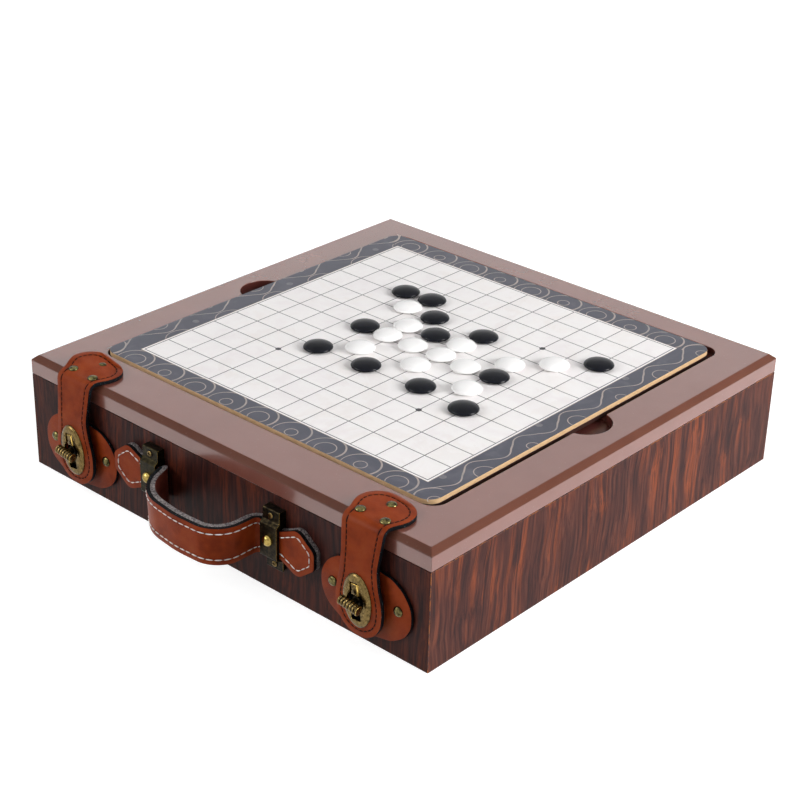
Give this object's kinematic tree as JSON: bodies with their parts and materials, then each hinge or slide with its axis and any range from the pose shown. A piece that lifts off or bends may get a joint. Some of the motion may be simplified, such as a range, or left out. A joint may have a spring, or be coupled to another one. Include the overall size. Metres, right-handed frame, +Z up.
{
  "type": "board game storage box",
  "caption": "Square wooden case with a lid that carries a game board and stones, two turn-lock leather straps and a leather handle.",
  "frame": {"origin": "centre of the case's underside", "axes": "+Z up, front with the handle towards -Y, hinges at +Y, +X to the right seen from the front"},
  "size_m": [0.33, 0.3704, 0.0821],
  "materials": {
    "rosewood_wrap": "satin rosewood-pattern wrap",
    "brown_paint": "semi-gloss brown paint",
    "bare_board": "raw fibreboard and plywood",
    "game_face": "printed face on fibreboard",
    "felt": "dark felt",
    "lining": "grey split leather",
    "strap_leather": "smooth brown",
    "antique_brass": "antique, dark in the hollows",
    "black_stone": "black, soft gloss",
    "white_stone": "white, gloss"
  },
  "bodies": {
    "case": {"front_wall": "rosewood_wrap", "back_wall": "rosewood_wrap", "left_wall": "rosewood_wrap", "right_wall": "rosewood_wrap", "bottom_panel": "bare_board", "base_liner": "felt", "divider_long": "bare_board", "divider_cross_left": "bare_board", "divider_cross_right": "bare_board", "bracket_screws": "antique_brass", "bracket_studs": "antique_brass", "patch_rivets": "antique_brass", "lock_base_screws": "antique_brass", "hinge_case_screws": "antique_brass", "hinge_pins": "antique_brass", "base_patch_left": "strap_leather", "handle_leaf_left": "strap_leather", "handle_leaf_lining_left": "lining", "lock_base_left": "antique_brass", "bracket_left": "antique_brass", "hinge_case_leaf_left": "antique_brass", "base_patch_right": "strap_leather", "handle_leaf_right": "strap_leather", "handle_leaf_lining_right": "lining", "lock_base_right": "antique_brass", "bracket_right": "antique_brass", "hinge_case_leaf_right": "antique_brass"},
    "lid": {"lid_panel": "brown_paint", "lid_liner": "felt", "tab_rivets": "antique_brass", "hinge_lid_screws": "antique_brass", "strap_tab_left": "strap_leather", "strap_tab_right": "strap_leather", "hinge_lid_leaf_left": "antique_brass", "hinge_lid_leaf_right": "antique_brass"},
    "handle": {"handle_grip": "strap_leather", "handle_lining": "lining"},
    "lower_board": {"lower_board": "bare_board"},
    "game_board": {"game_board": "game_face"},
    "stones_black": {"stones_black": "black_stone"},
    "stones_white": {"stones_white": "white_stone"},
    "flap_left": {"strap_flap_left": "strap_leather", "latch_plate_left": "antique_brass", "latch_backplate_left": "antique_brass"},
    "knob_left": {"turn_knob_left": "antique_brass"},
    "flap_right": {"strap_flap_right": "strap_leather", "latch_plate_right": "antique_brass", "latch_backplate_right": "antique_brass"},
    "knob_right": {"turn_knob_right": "antique_brass"}
  },
  "joints": [
    {"name": "lid_hinge", "type": "hinge", "parent": "case", "child": "lid", "pos_m": [0, 0.1676, 0.06315], "axis": [-1, 0, 0], "range_deg": [0, 105], "deforming": ["strap_flap_left", "latch_plate_left", "latch_backplate_left", "strap_flap_right", "latch_plate_right", "latch_backplate_right"]},
    {"name": "flap_left_lift", "type": "hinge", "parent": "lid", "child": "flap_left", "pos_m": [-0.1174, -0.163, 0.0784], "axis": [-1, 0, 0], "range_deg": [0, 120]},
    {"name": "flap_right_lift", "type": "hinge", "parent": "lid", "child": "flap_right", "pos_m": [0.121, -0.163, 0.0784], "axis": [-1, 0, 0], "range_deg": [0, 120]},
    {"name": "knob_left_turn", "type": "hinge", "parent": "case", "child": "knob_left", "pos_m": [-0.1174, -0.17, 0.0302], "axis": [0, -1, 0], "range_deg": [0, 98]},
    {"name": "knob_right_turn", "type": "hinge", "parent": "case", "child": "knob_right", "pos_m": [0.121, -0.17, 0.0302], "axis": [0, -1, 0], "range_deg": [0, 98]},
    {"name": "handle_swing", "type": "hinge", "parent": "case", "child": "handle", "pos_m": [0.0018, -0.1722, 0.0365], "axis": [-1, 0, 0], "range_deg": [-15, 15], "stiffness_Nm_per_rad": 0.4},
    {"name": "lower_board_lift", "type": "slide", "parent": "lid", "child": "lower_board", "axis": [0, 0, 1], "range_m": [0, 0.06]},
    {"name": "game_board_lift", "type": "slide", "parent": "lower_board", "child": "game_board", "axis": [0, 0, 1], "range_m": [0, 0.06]},
    {"name": "stones_black_lift", "type": "slide", "parent": "game_board", "child": "stones_black", "axis": [0, 0, 1], "range_m": [0, 0.06]},
    {"name": "stones_white_lift", "type": "slide", "parent": "game_board", "child": "stones_white", "axis": [0, 0, 1], "range_m": [0, 0.06]}
  ]
}
